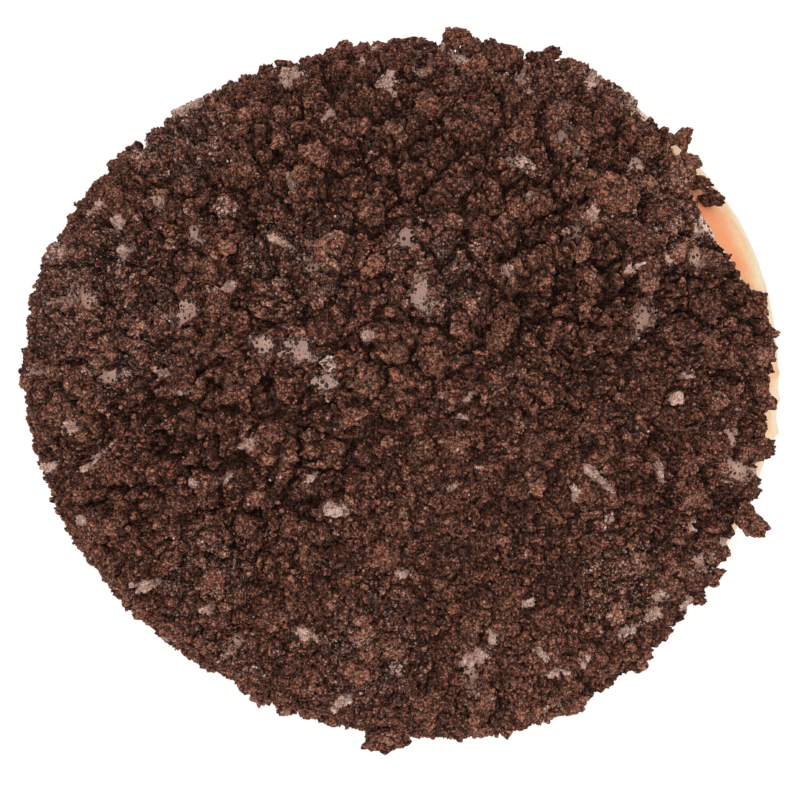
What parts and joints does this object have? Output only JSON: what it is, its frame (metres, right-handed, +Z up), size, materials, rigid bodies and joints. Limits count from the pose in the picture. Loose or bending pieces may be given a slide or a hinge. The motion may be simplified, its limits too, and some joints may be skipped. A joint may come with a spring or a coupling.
{
  "type": "crumb-coated doughnut",
  "caption": "Round filled-shell doughnut, flat underneath, dipped in icing over the top and coated with crushed chocolate biscuit crumbs.",
  "frame": {"origin": "centre of the doughnut's box at its flat base", "axes": "+Z up through the crown; +X along the longest way across, towards the side where the bare dough shows"},
  "size_m": [0.0898, 0.0842, 0.0399],
  "materials": {
    "dough": "fried dough, golden orange with a pale waist",
    "icing": "thin set sugar icing, soft gloss, greyed by cocoa dust",
    "crumb": "crushed chocolate biscuit, rough and dry"
  },
  "bodies": {
    "root": {"dough": "dough", "icing": "icing", "crumb_coat": "crumb"}
  },
  "joints": []
}
